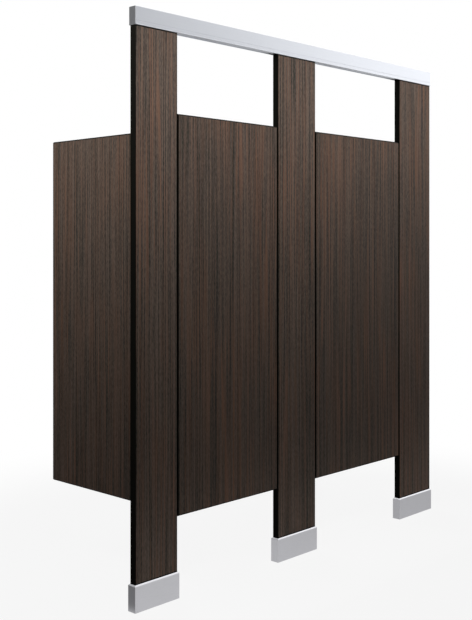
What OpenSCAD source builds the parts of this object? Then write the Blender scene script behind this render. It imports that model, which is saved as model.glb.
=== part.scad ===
// Two-compartment washroom stall partition. Floor-standing pilasters are braced by a headrail,
// dividing panels run back to the wall, and inward doors close themselves and latch inside.
// Millimetres. +X runs along the front from left to right, +Y into the stalls, +Z up.
// The origin is on the floor, under the centre of the middle pilaster.

/* [Boards] */
// Thickness of the pilasters and doors
board_t = 28; // [24:1:32]
// Thickness of the dividing panels
panel_t = 28; // [22:1:32]
// Thickness of the laminate sheet on each face
sheet_t = 0.8; // [0.5:0.1:1.2]
// How far a sheet's edge is set back from the board's sides, so that the black core shows
sheet_setback = 4; // [2:0.5:6]
// Width of the eased edge along a board's sides
edge_ease = 1.5; // [1:0.5:6]
// Width of the eased edge along a board's upper and lower ends
end_ease = 5; // [2:0.5:6]

/* [Front] */
// Width of the left pilaster
pilaster_l_w = 202; // [150:1:320]
// Width of the middle pilaster
pilaster_m_w = 241; // [170:1:320]
// Width of the right pilaster
pilaster_r_w = 261; // [170:1:320]
// Width of the left door
door_l_w = 551; // [480:1:800]
// Width of the right door
door_r_w = 619; // [480:1:800]
// Gap between a door and the pilasters beside it
door_gap = 4; // [3:0.5:6]
// Height of the doors' lower edge above the floor
door_z0 = 298; // [150:1:330]
// Height of a door
door_h = 1476; // [1350:1:1600]

/* [Dividing panels] */
// Length of a panel from front to back
panel_d = 637; // [600:1:1600]
// Gap between a panel's end and the pilaster or the wall
panel_gap = 3; // [1:0.5:12]
// Height of a panel's lower edge above the floor
panel_z0 = 335; // [200:1:400]
// Height of a panel
panel_h = 1376; // [1250:1:1500]
// From the left pilaster's door edge to the near face of the left panel
panel_setback = 42; // [40:1:70]

/* [Headrail] */
// Height of the headrail's lower edge above the floor
headrail_z0 = 2069; // [2000:1:2300]
// Height of the headrail section
headrail_h = 66; // [50:1:80]
// Wall of the headrail section
headrail_wall = 2; // [1.6:0.2:2.6]
// Clearance between the headrail and a pilaster's face
headrail_clear = 1; // [0.9:0.1:2]
// Height of the closed chamber along the headrail's top
chamber_h = 12; // [11:0.5:16]
// How far the headrail runs past the outer pilasters
headrail_overhang = 1; // [0.5:0.5:5]
// Thickness of an end cap
cap_t = 2; // [2:0.5:5]

/* [Feet] */
// Height of a shoe
shoe_h = 97; // [90:1:130]
// Sheet thickness of a shoe
shoe_wall = 1.5; // [1:0.1:2]
// Space between a pilaster and the inside of its shoe
shoe_gap = 3.5; // [2.5:0.5:8]
// Width of the sloped lip along a shoe's upper edge
shoe_lip = 4.5; // [3.5:0.5:5]
// Black reveal on a pilaster's faces above the shoe and below the headrail
face_reveal = 4; // [2:1:8]
// Height of a pilaster's lower edge above the floor
pilaster_z0 = 45; // [40:1:55]
// Thickness of a foot plate
foot_plate_t = 8; // [6:1:12]
// Distance from a foot plate's end to the side of its pilaster
foot_plate_inset = 10; // [4:1:12]
// From a pilaster's side to the centre of its floor anchor hole
anchor_inset = 25; // [22:1:28]
// Radius of a floor anchor hole
anchor_hole_r = 5; // [4:0.5:6]
// From a pilaster's side to the centre of its levelling stud
stud_inset = 55; // [50:1:60]
// Radius of a levelling stud
stud_r = 5; // [4:0.5:6]
// Depth of a stud's bore in the pilaster's foot
stud_bore_depth = 50; // [40:1:80]

/* [Hinges] */
// Height of a hinge
hinge_h = 90; // [80:1:120]
// From a door's upper or lower edge to the middle of its hinge
hinge_inset = 150; // [100:5:250]
// Reach of a hinge leaf from the hinge axis
leaf_w = 36; // [34:1:40]
// Thickness of a hinge leaf
leaf_t = 3; // [2:0.5:4]
// Radius of a hinge knuckle
knuckle_r = 7.5; // [7:0.5:9]
// Space between a knuckle and the face of the boards
knuckle_lift = 0.8; // [0.5:0.1:1.5]
// Length of the door's knuckle
door_knuckle_h = 44; // [36:1:50]
// Radius of a hinge pin
pin_r = 3.5; // [3:0.5:4]
// Flange thickness of a nylon bush
bush_flange_t = 1.2; // [0.8:0.1:2]

/* [Latch and stop] */
// Height of the latch above the floor
latch_z = 1010; // [900:5:1150]
// Length of the latch case
case_l = 80; // [74:1:100]
// Height of the case's screw flange
case_h = 48; // [46:1:60]
// Height of the bolt
bolt_h = 18; // [14:1:20]
// Thickness of the bolt
bolt_t = 8; // [6:0.5:10]
// Travel of the bolt
bolt_travel = 20; // [16:1:22]
// Width of the keeper along the bolt
keeper_w = 16; // [12:1:22]
// From the latch down to the middle of the door stop
stop_drop = 110; // [70:5:200]
// Height of the rubber buffer on the door stop
buffer_h = 5; // [4:0.5:8]

/* [Coat hook] */
// From a door's upper edge down to the middle of its coat hook
hook_drop = 115; // [60:5:250]
// How far the coat hook's buffer stands out from the door
hook_reach = 46; // [40:1:46]

/* [Brackets and screws] */
// Height of an angle bracket
bracket_h = 60; // [54:1:80]
// Thickness of a bracket's ear and wing
bracket_t = 3; // [2.5:0.5:4]
// Length of a bracket's ear along the panel
ear_l = 40; // [36:1:50]
// Width of a bracket's wing beside its ear
wing_w = 26; // [20:1:30]
// From the middle of a hinge to the middle of the bracket nearest to it
bracket_rise = 120; // [110:5:250]
// Radius of the holes for the wall's own screws
wall_hole_r = 3.3; // [3:0.1:4]
// Shank radius of a wood screw
screw_r = 2.4; // [2:0.1:2.5]
// Length of a wood screw
screw_len = 20; // [16:1:21]

/* [Hidden] */
$fn = 48;

CORE_BLACK = "#0c0b0b";
EBONY = "#4b3c36";
ALUMINIUM = "#c4c8d0";
SHOE_GREY = "#b0b0b6";
STEEL = "#8f9296";
ZINC = "#a9a795";
NYLON = "#e8e6df";
RUBBER = "#1b1b1c";

// Clearances
fit_clear = 0.05;
slide_clear = 0.3;
seat_clear = 0.1;
lip_clear = 0.5;

// Places along the front
inner_y = board_t / 2;
door_l_x0 = -pilaster_m_w / 2 - door_gap - door_l_w;
door_r_x0 = pilaster_m_w / 2 + door_gap;
pilaster_l_x = door_l_x0 - door_gap - pilaster_l_w / 2;
pilaster_r_x = door_r_x0 + door_r_w + door_gap + pilaster_r_w / 2;
pilasters = [[pilaster_l_x, pilaster_l_w], [0, pilaster_m_w], [pilaster_r_x, pilaster_r_w]];
door_l_x1 = door_l_x0 + door_l_w;
door_r_x1 = door_r_x0 + door_r_w;
door_z1 = door_z0 + door_h;

// Places of the panels, and of the brackets on each
panel_l_x = pilaster_l_x + pilaster_l_w / 2 - panel_setback - panel_t / 2;
panel_xs = [panel_l_x, 0, pilaster_r_x];
panel_y0 = inner_y + panel_gap;
wall_y = panel_y0 + panel_d + panel_gap;
hinge_zs = [door_z0 + hinge_inset, door_z1 - hinge_inset];
bracket_zs = [hinge_zs[0] + bracket_rise, hinge_zs[1] - bracket_rise];
// Panel number and the side of it on which its brackets stand, 1 for +X
bracket_sides = [[0, 1], [1, -1], [1, 1], [2, -1]];
wing_hole_x = bracket_t + (wing_w - bracket_t) * 0.5;
wing_hole_z = bracket_h / 2 - 12;
bracket_corner_r = 8;
ear_spots = [[ear_l * 0.4, wing_hole_z], [ear_l - 9, -wing_hole_z]];

// Headrail and pilaster heights
headrail_half = inner_y + headrail_clear + headrail_wall;
pilaster_z1 = headrail_z0 + headrail_h - chamber_h;
headrail_x0 = pilaster_l_x - pilaster_l_w / 2 - headrail_overhang;
headrail_x1 = pilaster_r_x + pilaster_r_w / 2 + headrail_overhang;
bead_r = headrail_wall * 0.9;
port_r = 2.2;
port_wall = 1.4;
port_y = headrail_half - headrail_wall - port_r - port_wall;
port_z = headrail_h - headrail_wall - port_r - port_wall;
groove_r = 0.9;
groove_z = 15;
peg_len = 18;
peg_root = 0.5;
infill_t = 1.2;
infill_leg = 6;
infill_end_gap = 1;

// Shoe section
shoe_over = shoe_gap + shoe_wall;
shoe_screw_z = shoe_h - 17;

// Foot section, with the places of all levelling studs along the front
foot_plate_corner_r = 4;
stud_xs = [for (p = pilasters, s = [-1, 1]) p[0] + s * (p[1] / 2 - stud_inset)];
stud_ease = 1.5;
stud_top_gap = 4.5;
washer_t = 2;
nut_h = 8;
nut_r = stud_r * 1.95;
nut_ease_r = 1.3;
nut_ease_h = 0.8;

// Hinge section
hinge_off = knuckle_r + knuckle_lift;
hinge_y = inner_y + hinge_off;
hinge_xs = [door_l_x0 - door_gap / 2, door_r_x0 - door_gap / 2];
knuckle_clear_r = knuckle_r + 0.6;
bush_step = bush_flange_t + 2 * seat_clear;
bush_sleeve_r = pin_r + 1.5;
bush_sleeve_len = 10;
knuckle_wall = 1.4;
spring_wire = 1.4;
spring_bore_r = knuckle_r - knuckle_wall;
spring_floor = 5;
spring_end_gap = 1;
pin_head_r = knuckle_r * 0.8;
pin_head_h = 2.6;
pin_tail = 1.5;
pin_ease = 0.8;
leaf_corner_r = 4;
leaf_spots = [for (s = [-1, 1]) each [[leaf_w - 19, s * (hinge_h / 2 - 9)],
                                      [leaf_w - 8, s * hinge_h / 6]]];

// Latch section, measured from the door's free edge and inner face
bolt_y = 4;
bolt_setback = 1;
bolt_back = 10;
case_end = 3;
bolt_l = case_l - case_end - bolt_setback - bolt_back;
bolt_wall = 3.5;
bolt_ease = 1.5;
case_flange_t = 2.5;
case_ease = 2;
case_corner_r = 6;
case_depth = bolt_y + bolt_t + bolt_wall;
case_body_h = bolt_h + 2 * slide_clear + 2 * bolt_wall;
case_spots = [for (x = [8, case_l - 8], s = [-1, 1]) [-x, s * (case_h / 2 - 5.5)]];
knob_x = -bolt_setback - bolt_l / 2 - 4;
knob_lift = 1.5;
knob_neck_r = 4;
knob_r = 9;
knob_len = 16;
knob_stud_r = 2.5;
knob_stud_len = 6.5;

// Keeper section, measured from the pilaster's edge
keeper_x0 = 3;
keeper_t = 2.5;
keeper_room = 0.8;
keeper_depth = bolt_y + bolt_t + keeper_room + keeper_t;
keeper_screw_z = bolt_h / 2 + keeper_room + keeper_t + 9;
keeper_h = 2 * (keeper_screw_z + 8);

// Door stop section, measured from the door's free edge and inner face
stop_t = 3;
stop_h = 34;
stop_base = 32;
stop_lap = 20;
stop_joggle = 6;
stop_corner_r = 6;
buffer_r = 7.5;
buffer_ease = 1.5;
buffer_x = door_gap + 9;
buffer_stem_r = 2.5;
buffer_barb = 1.2;
buffer_barb_h = 3;
stop_spots = [[-14, 8], [-25, -8]];

// Coat hook section
hook_plate_t = 4;
hook_plate_w = 30;
hook_plate_h = 76;
hook_plate_corner_r = 12;
hook_plate_ease = 1;
hook_arm_r = 4.5;
hook_arm_z = 16;
hook_rod_r = 3.5;
hook_bend_r = 10;
hook_bend_y = 15;
hook_rod_z = -20;
hook_ball_r = hook_rod_r * 1.5;
hook_tip_r = 8;
hook_tip_len = 14;
hook_tip_ease = 2.5;
hook_tip_wall = 4;
hook_spots = [for (s = [-1, 1]) [0, s * (hook_plate_h / 2 - 7)]];

// Screw section
head_r = screw_r * 2;
head_h = 2.4;
screw_hole_r = screw_r + 0.3;

// Screw places on the frame, each at the seat of its head, driven towards the front
hinge_spots_fixed = [for (x = hinge_xs, z = hinge_zs, s = leaf_spots)
    [x - s[0], inner_y + leaf_t, z + s[1]]];
wing_spots = [for (b = bracket_sides, z = bracket_zs, s = [-1, 1])
    [panel_xs[b[0]] + b[1] * (panel_t / 2 + wing_hole_x), inner_y + bracket_t, z + s * wing_hole_z]];
keeper_spots = [for (x = [door_l_x1 + door_gap, door_r_x1 + door_gap], s = [-1, 1])
    [x + keeper_x0 + keeper_w / 2, inner_y + keeper_t, latch_z + s * keeper_screw_z]];
headrail_spots = [for (p = pilasters, s = [-1, 1])
    [p[0] + s * p[1] / 4, headrail_half, headrail_z0 + (headrail_h - chamber_h) / 2]];
shoe_spots = [for (p = pilasters) [p[0], inner_y + shoe_over, shoe_screw_z]];
frame_spots = concat(hinge_spots_fixed, wing_spots, keeper_spots, headrail_spots, shoe_spots);

// Screw places in the panels' faces, each with the side that its head is on. An end of 1 is at
// the pilaster and -1 at the wall, where the same bracket is turned round
ear_screws = [for (b = bracket_sides, z = bracket_zs, e = ear_spots, end = [1, -1])
    [panel_xs[b[0]] + b[1] * (panel_t / 2 + bracket_t),
     end > 0 ? inner_y + e[0] : wall_y - e[0], z + end * b[1] * e[1], b[1]]];

// Screw places on the door with its hinge edge at x0 and width w
function door_spots(x0, w) = concat(
    [for (z = hinge_zs, s = leaf_spots) [x0 - door_gap / 2 + s[0], inner_y + leaf_t, z + s[1]]],
    [for (s = case_spots) [x0 + w + s[0], inner_y + case_flange_t, latch_z + s[1]]],
    [for (s = stop_spots) [x0 + w + s[0], inner_y + stop_t, latch_z - stop_drop + s[1]]],
    [for (s = hook_spots) [x0 + w / 2, inner_y + hook_plate_t, door_z1 - hook_drop + s[1]]]);

// Rectangle with its four corners cut at 45 degrees, centred
module eased_rect(a, b, ease)
    polygon([[ease - a / 2, -b / 2], [a / 2 - ease, -b / 2], [a / 2, ease - b / 2],
             [a / 2, b / 2 - ease], [a / 2 - ease, b / 2], [ease - a / 2, b / 2],
             [-a / 2, b / 2 - ease], [-a / 2, ease - b / 2]]);

// Rectangle with round corners, centred
module rounded_rect(a, b, r) {
    square([a - 2 * r, b], center = true);
    square([a, b - 2 * r], center = true);
    for (x = [-1, 1], y = [-1, 1]) translate([x * (a / 2 - r), y * (b / 2 - r)]) circle(r);
}

// Turns a flat outline (x, y) to (Y, Z) and extrudes it along +X
module along_x(length) rotate([90, 0, 90]) linear_extrude(length) children();

// Turns a flat outline (x, y) to (X, Z) and extrudes it from Y = 0 towards +Y
module along_y(length) translate([0, length, 0]) rotate([90, 0, 0]) linear_extrude(length) children();

// Board standing on z = 0, w along X and t along Y, with its sides and its ends eased
module eased_board(w, t, h) {
    intersection() {
        linear_extrude(h) eased_rect(w, t, edge_ease);
        translate([-w / 2, 0, h / 2]) along_x(w) eased_rect(t, h, end_ease);
    }
}

// The board without its two laminate sheets
module board_core(w, t, h) {
    intersection() {
        eased_board(w, t, h);
        translate([0, 0, h / 2]) cube([w + 2, t - 2 * sheet_t, h + 2], center = true);
    }
}

// The two laminate sheets of the board, set back from its sides and from its eased ends
module board_faces(w, t, h) {
    for (s = [-1, 1]) translate([0, s * (t - sheet_t) / 2, h / 2])
        cube([w - 2 * sheet_setback, sheet_t, h - 2 * end_ease], center = true);
}

// Holes for the screws at the given places that lie within x0 to x1
module screw_bores(spots, x0, x1) {
    for (s = spots)
        if (s[0] > x0 && s[0] < x1)
            translate(s) rotate([90, 0, 0]) cylinder(h = screw_len + 1, r = screw_r + fit_clear);
}

// Domed head with a socket on z = 0, and a pointed shank driven towards +Z
module wood_screw() {
    difference() {
        rotate_extrude() polygon([[0, -head_h], [head_r * 0.55, -head_h], [head_r, -head_h * 0.4],
            [head_r, 0], [screw_r, 0], [screw_r, screw_len - 2.5 * screw_r], [0, screw_len]]);
        translate([0, 0, -head_h - 1]) cylinder(h = head_h * 0.6 + 1, r = head_r * 0.42, $fn = 6);
    }
}

module screws_at(spots) {
    color(STEEL) for (s = spots) translate(s) rotate([90, 0, 0]) wood_screw();
}

module door_screws(x0, w) screws_at(door_spots(x0, w));

// One pilaster's core, with bores for its levelling studs and pilot holes for its screws
module pilaster_core(p) {
    color(CORE_BLACK) difference() {
        translate([p[0], 0, pilaster_z0]) board_core(p[1], board_t, pilaster_z1 - pilaster_z0);
        for (s = [-1, 1]) translate([p[0] + s * (p[1] / 2 - stud_inset), 0, pilaster_z0 - 1])
            cylinder(h = stud_bore_depth + 1, r = stud_r + slide_clear);
        screw_bores(frame_spots, p[0] - p[1] / 2, p[0] + p[1] / 2);
    }
}

// One pilaster's sheets, which stop a reveal short of the shoe and the headrail
module pilaster_sheets(p) {
    sheet_z0 = shoe_h + face_reveal;
    sheet_h = headrail_z0 - face_reveal - sheet_z0;
    color(EBONY) difference() {
        intersection() {
            translate([p[0], 0, pilaster_z0]) board_faces(p[1], board_t, pilaster_z1 - pilaster_z0);
            translate([p[0], 0, sheet_z0 + sheet_h / 2])
                cube([p[1] + 2, board_t + 2, sheet_h], center = true);
        }
        screw_bores(frame_spots, p[0] - p[1] / 2, p[0] + p[1] / 2);
    }
}

// Pilot holes for the screws in the faces of the panel at x
module panel_bores(x) {
    for (s = ear_screws)
        if (abs(s[0] - x) < panel_t)
            translate([s[0], s[1], s[2]]) rotate([0, -s[3] * 90, 0])
                cylinder(h = screw_len + 1, r = screw_r + fit_clear);
}

module panel_core(x) {
    color(CORE_BLACK) difference() {
        translate([x, panel_y0 + panel_d / 2, panel_z0]) rotate([0, 0, 90])
            board_core(panel_d, panel_t, panel_h);
        panel_bores(x);
    }
}

module panel_sheets(x) {
    color(EBONY) difference() {
        translate([x, panel_y0 + panel_d / 2, panel_z0]) rotate([0, 0, 90])
            board_faces(panel_d, panel_t, panel_h);
        panel_bores(x);
    }
}

module door_core(x0, w) {
    color(CORE_BLACK) difference() {
        translate([x0 + w / 2, 0, door_z0]) board_core(w, board_t, door_h);
        screw_bores(door_spots(x0, w), x0, x0 + w);
    }
}

module door_sheets(x0, w) {
    color(EBONY) difference() {
        translate([x0 + w / 2, 0, door_z0]) board_faces(w, board_t, door_h);
        screw_bores(door_spots(x0, w), x0, x0 + w);
    }
}

// Extruded section: two walls with a bead along the lower edge and a groove above it, open
// below, and a closed chamber above with two ports for the end caps' pegs
module headrail_section() {
    inside = headrail_half - headrail_wall;
    difference() {
        union() {
            translate([0, headrail_h / 2]) rounded_rect(2 * headrail_half, headrail_h, headrail_wall);
            for (s = [-1, 1]) translate([s * (headrail_half - headrail_wall / 2), bead_r])
                circle(bead_r);
        }
        translate([-inside, -1]) square([2 * inside, headrail_h - chamber_h + 1]);
        difference() {
            translate([-inside, headrail_h - chamber_h + headrail_wall])
                square([2 * inside, chamber_h - 2 * headrail_wall]);
            for (s = [-1, 1]) scale([s, 1]) translate([port_y, port_z]) {
                circle(port_r + port_wall);
                square(port_r + port_wall);
            }
        }
        for (s = [-1, 1]) translate([s * port_y, port_z]) circle(port_r);
        for (s = [-1, 1]) translate([s * (headrail_half + groove_r * 0.4), groove_z]) circle(groove_r);
    }
}

module headrail() {
    color(ALUMINIUM) difference() {
        translate([headrail_x0, 0, headrail_z0]) along_x(headrail_x1 - headrail_x0) headrail_section();
        for (s = headrail_spots) translate([s[0], s[1] + 1, s[2]]) rotate([90, 0, 0])
            cylinder(h = headrail_wall + 2, r = screw_hole_r);
    }
}

// Cap over the headrail's end, with an eased outer face and two pegs in the ports
module end_cap() {
    ease = cap_t * 0.6;
    intersection() {
        translate([-cap_t, 0, headrail_h / 2]) along_x(cap_t)
            rounded_rect(2 * headrail_half, headrail_h, headrail_wall);
        translate([0, 0, headrail_h / 2]) linear_extrude(headrail_h, center = true)
            eased_rect(2 * cap_t, 2 * headrail_half, ease);
        translate([0, headrail_half, headrail_h / 2]) rotate([90, 0, 0])
            linear_extrude(2 * headrail_half) eased_rect(2 * cap_t, headrail_h, ease);
    }
    for (s = [-1, 1]) translate([-peg_root, s * port_y, port_z]) rotate([0, 90, 0])
        cylinder(h = peg_len, r = port_r - seat_clear);
}

module headrail_end_caps() {
    color(ALUMINIUM) {
        translate([headrail_x0, 0, headrail_z0]) end_cap();
        translate([headrail_x1, 0, headrail_z0]) mirror([1, 0, 0]) end_cap();
    }
}

// Clip-in strips that close the headrail over the doors, resting on the beads of its walls
module headrail_infills() {
    half = headrail_half - headrail_wall - seat_clear;
    color(ALUMINIUM) for (i = [0, 1]) {
        x0 = pilasters[i][0] + pilasters[i][1] / 2 + infill_end_gap;
        x1 = pilasters[i + 1][0] - pilasters[i + 1][1] / 2 - infill_end_gap;
        translate([x0, 0, headrail_z0 + 2 * bead_r + seat_clear]) along_x(x1 - x0) difference() {
            translate([-half, 0]) square([2 * half, infill_leg]);
            translate([infill_t - half, infill_t]) square([2 * (half - infill_t), infill_leg]);
        }
    }
}

// Box of half sizes a and b and height h, with its upper edges cut at 45 degrees by lip
module lipped_box(a, b, h, lip) {
    intersection() {
        translate([-a, -b, 0]) cube([2 * a, 2 * b, h]);
        translate([0, b + 1, h - 2 * a]) rotate([90, 0, 0]) linear_extrude(2 * b + 2)
            translate([0, a]) eased_rect(2 * a, 2 * a, lip);
        translate([-a - 1, 0, h - 2 * b]) along_x(2 * a + 2)
            translate([0, b]) eased_rect(2 * b, 2 * b, lip);
    }
}

// Folded sleeve round a pilaster's foot, its upper edge turned in to a sloped lip
module shoe(p) {
    a = p[1] / 2 + shoe_over;
    b = inner_y + shoe_over;
    inner_lip = shoe_lip - (2 - sqrt(2)) * shoe_wall;
    color(SHOE_GREY) translate([p[0], 0, 0]) difference() {
        union() {
            translate([-a, -b, 0]) cube([2 * a, 2 * b, shoe_h - shoe_lip - 1]);
            translate([0, 0, shoe_h - shoe_lip - 2]) lipped_box(a, b, shoe_lip + 2, shoe_lip);
        }
        translate([shoe_wall - a, shoe_wall - b, -1])
            cube([2 * (a - shoe_wall), 2 * (b - shoe_wall), shoe_h - shoe_lip - shoe_wall]);
        translate([0, 0, shoe_h - shoe_lip - shoe_wall - 2])
            lipped_box(a - shoe_wall, b - shoe_wall, shoe_lip + 2, inner_lip);
        translate([-p[1] / 2 - lip_clear, -inner_y - lip_clear, 1])
            cube([p[1] + 2 * lip_clear, board_t + 2 * lip_clear, shoe_h]);
        translate([0, b + 1, shoe_screw_z]) rotate([90, 0, 0])
            cylinder(h = shoe_wall + 2, r = screw_hole_r);
    }
}

// Steel plate on the floor inside a shoe, with two anchor holes and two threaded stud holes
module foot_plate(p) {
    color(STEEL) translate([p[0], 0, 0]) linear_extrude(foot_plate_t) difference() {
        rounded_rect(p[1] - 2 * foot_plate_inset, board_t, foot_plate_corner_r);
        for (s = [-1, 1]) {
            translate([s * (p[1] / 2 - anchor_inset), 0]) circle(anchor_hole_r);
            translate([s * (p[1] / 2 - stud_inset), 0]) circle(stud_r + fit_clear);
        }
    }
}

// Studs from the floor plates up into the pilasters, with eased upper ends
module levelling_studs() {
    stud_z1 = pilaster_z0 + stud_bore_depth - stud_top_gap;
    color(ZINC) for (x = stud_xs) translate([x, 0, 0]) rotate_extrude()
        polygon([[0, 0], [stud_r, 0], [stud_r, stud_z1 - stud_ease],
            [stud_r - stud_ease, stud_z1], [0, stud_z1]]);
}

// Hexagon nut with eased corners
module hex_nut() {
    difference() {
        intersection() {
            cylinder(h = nut_h, r = nut_r, $fn = 6);
            rotate_extrude() polygon([[0, 0], [nut_r - nut_ease_r, 0], [nut_r, nut_ease_h],
                [nut_r, nut_h - nut_ease_h], [nut_r - nut_ease_r, nut_h], [0, nut_h]]);
        }
        translate([0, 0, -1]) cylinder(h = nut_h + 2, r = stud_r + fit_clear);
    }
}

// A lock nut on each foot plate and an adjusting nut under each washer
module levelling_nuts() {
    color(ZINC) for (x = stud_xs, z = [foot_plate_t, pilaster_z0 - washer_t - nut_h])
        translate([x, 0, z]) hex_nut();
}

module levelling_washers() {
    color(ZINC) for (x = stud_xs) translate([x, 0, pilaster_z0 - washer_t])
        linear_extrude(washer_t) difference() {
            circle(stud_r * 2);
            circle(stud_r + slide_clear);
        }
}

// Angle bracket on the +X side of a panel whose face is at x = 0. Its wing lies on y = 0 and
// has holes of the given radius, and its ear points to +Y along the panel
module angle_bracket(wing_hole_r) {
    root = bracket_t * 1.5;
    difference() {
        intersection() {
            linear_extrude(bracket_h, center = true) {
                square([wing_w, bracket_t]);
                square([bracket_t, ear_l]);
                translate([bracket_t, bracket_t]) difference() {
                    square(root);
                    translate([root, root]) circle(root);
                }
            }
            along_x(wing_w) rounded_rect(2 * ear_l, bracket_h, bracket_corner_r);
            along_y(ear_l) rounded_rect(2 * wing_w, bracket_h, bracket_corner_r);
        }
        for (s = [-1, 1]) translate([wing_hole_x, -1, s * wing_hole_z]) along_y(bracket_t + 2)
            circle(wing_hole_r);
        for (e = ear_spots) translate([-1, e[0], e[1]]) rotate([0, 90, 0])
            cylinder(h = bracket_t + 2, r = screw_hole_r);
    }
}

// The same bracket on either side of a panel, turned over on its -X side
module bracket_on(side, wing_hole_r) {
    translate([side * panel_t / 2, 0, 0]) rotate([0, side > 0 ? 0 : 180, 0])
        angle_bracket(wing_hole_r);
}

module pilaster_brackets() {
    color(ALUMINIUM) for (b = bracket_sides, z = bracket_zs)
        translate([panel_xs[b[0]], inner_y, z]) bracket_on(b[1], screw_hole_r);
}

module wall_brackets() {
    color(ALUMINIUM) for (b = bracket_sides, z = bracket_zs)
        translate([panel_xs[b[0]], wall_y, z]) rotate([0, 0, 180])
            bracket_on(-b[1], wall_hole_r);
}

module panel_screws() {
    color(STEEL) for (s = ear_screws) translate([s[0], s[1], s[2]]) rotate([0, -s[3] * 90, 0])
        wood_screw();
}

// One hinge leaf about the hinge axis: side is -1 on the pilaster and 1 on the door
module hinge_leaf(side, spans) {
    flat_w = leaf_w - knuckle_clear_r;
    translate([0, -hinge_off, 0]) along_y(leaf_t) difference() {
        union() {
            translate([side * (leaf_w - flat_w / 2), 0])
                rounded_rect(flat_w, hinge_h, leaf_corner_r);
            translate([side * (knuckle_clear_r + flat_w / 4), 0])
                square([flat_w / 2, hinge_h], center = true);
        }
        for (s = leaf_spots) translate([side * s[0], s[1]]) circle(screw_hole_r);
    }
    for (z = spans) translate([0, 0, z[0]]) linear_extrude(z[1] - z[0]) difference() {
        union() {
            circle(knuckle_r);
            translate([side > 0 ? 0 : -knuckle_clear_r - 1, -hinge_off])
                square([knuckle_clear_r + 1, leaf_t]);
        }
        circle(pin_r + fit_clear);
    }
}

// Both fixed leaves of a door's hinges, their outer knuckles bored for the bushes
module hinge_leaves_fixed(x) {
    bush_z = door_knuckle_h / 2 + bush_step;
    color(ALUMINIUM) for (z = hinge_zs) translate([x, hinge_y, z]) difference() {
        hinge_leaf(-1, [[-hinge_h / 2, -bush_z], [bush_z, hinge_h / 2]]);
        cylinder(h = 2 * (bush_z + bush_sleeve_len), r = bush_sleeve_r + fit_clear, center = true);
    }
}

// Both door leaves, each middle knuckle bored from above for its spring
module hinge_leaves_door(x) {
    color(ALUMINIUM) for (z = hinge_zs) translate([x, hinge_y, z]) difference() {
        hinge_leaf(1, [[-door_knuckle_h / 2, door_knuckle_h / 2]]);
        translate([0, 0, spring_floor - door_knuckle_h / 2])
            cylinder(h = door_knuckle_h, r = spring_bore_r);
    }
}

// Both pins, each with a low head above its upper knuckle and an eased tail below the lower one
module hinge_pins(x) {
    top = hinge_h / 2;
    tail = -top - pin_tail;
    color(STEEL) for (z = hinge_zs) translate([x, hinge_y, z]) rotate_extrude()
        polygon([[0, tail], [pin_r - pin_ease, tail], [pin_r, tail + pin_ease], [pin_r, top],
            [pin_head_r, top], [pin_head_r, top + pin_head_h * 0.55],
            [pin_head_r * 0.6, top + pin_head_h], [0, top + pin_head_h]]);
}

// Flanged nylon bush whose sleeve sits in a fixed knuckle
module bush() {
    z0 = door_knuckle_h / 2 + seat_clear;
    z1 = z0 + bush_flange_t;
    z2 = z1 + bush_sleeve_len - 2 * seat_clear;
    rotate_extrude() polygon([[pin_r + seat_clear, z0], [knuckle_r, z0], [knuckle_r, z1],
        [bush_sleeve_r, z1], [bush_sleeve_r, z2], [pin_r + seat_clear, z2]]);
}

module hinge_bushes(x) {
    color(NYLON) for (z = hinge_zs) translate([x, hinge_y, z]) {
        bush();
        mirror([0, 0, 1]) bush();
    }
}

// Torsion spring, as the tube that its close coils fill
module hinge_springs(x) {
    spring_h = door_knuckle_h - spring_floor - spring_end_gap;
    color(STEEL) for (z = hinge_zs) translate([x, hinge_y, z + spring_floor - door_knuckle_h / 2])
        linear_extrude(spring_h) difference() {
            circle(spring_bore_r - seat_clear);
            circle(spring_bore_r - seat_clear - spring_wire);
        }
}

// Cast case of the slide latch on a door whose free edge is at x
module latch_case(x) {
    slot_r = knob_neck_r + slide_clear;
    color(ALUMINIUM) translate([x, inner_y, latch_z]) difference() {
        union() {
            translate([-case_l / 2, 0, 0]) along_y(case_flange_t)
                rounded_rect(case_l, case_h, case_corner_r);
            intersection() {
                translate([-case_l / 2, 0, 0]) along_y(case_depth)
                    square([case_l, case_body_h], center = true);
                translate([-case_l / 2, 0, -case_h / 2]) linear_extrude(case_h)
                    eased_rect(case_l, 2 * case_depth, case_ease);
                translate([-case_l - 1, 0, 0]) along_x(case_l + 2)
                    eased_rect(2 * case_depth, case_body_h, case_ease);
            }
        }
        translate([case_end - case_l, bolt_y - slide_clear, -bolt_h / 2 - slide_clear])
            cube([case_l, bolt_t + 2 * slide_clear, bolt_h + 2 * slide_clear]);
        translate([0, bolt_y + bolt_t, 0]) along_y(bolt_wall + 1) {
            for (d = [0, bolt_travel]) translate([knob_x + d, 0]) circle(slot_r);
            translate([knob_x, -slot_r]) square([bolt_travel, 2 * slot_r]);
        }
        for (s = case_spots) translate([s[0], -1, s[1]]) along_y(case_flange_t + 2)
            circle(screw_hole_r);
    }
}

// Flat bolt in the case, drawn back, with its nose eased
module latch_bolt(x) {
    color(STEEL) translate([x - bolt_setback, inner_y + bolt_y, latch_z]) difference() {
        intersection() {
            translate([-bolt_l, 0, -bolt_h / 2]) cube([bolt_l, bolt_t, bolt_h]);
            translate([0, 0, -bolt_h / 2]) linear_extrude(bolt_h) translate([-bolt_l, bolt_t / 2])
                eased_rect(2 * bolt_l, bolt_t, bolt_ease);
            along_y(bolt_t) translate([-bolt_l, 0]) eased_rect(2 * bolt_l, bolt_h, bolt_ease);
        }
        translate([knob_x + bolt_setback, bolt_t - knob_stud_len, 0]) along_y(bolt_t)
            circle(knob_stud_r + fit_clear);
    }
}

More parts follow.
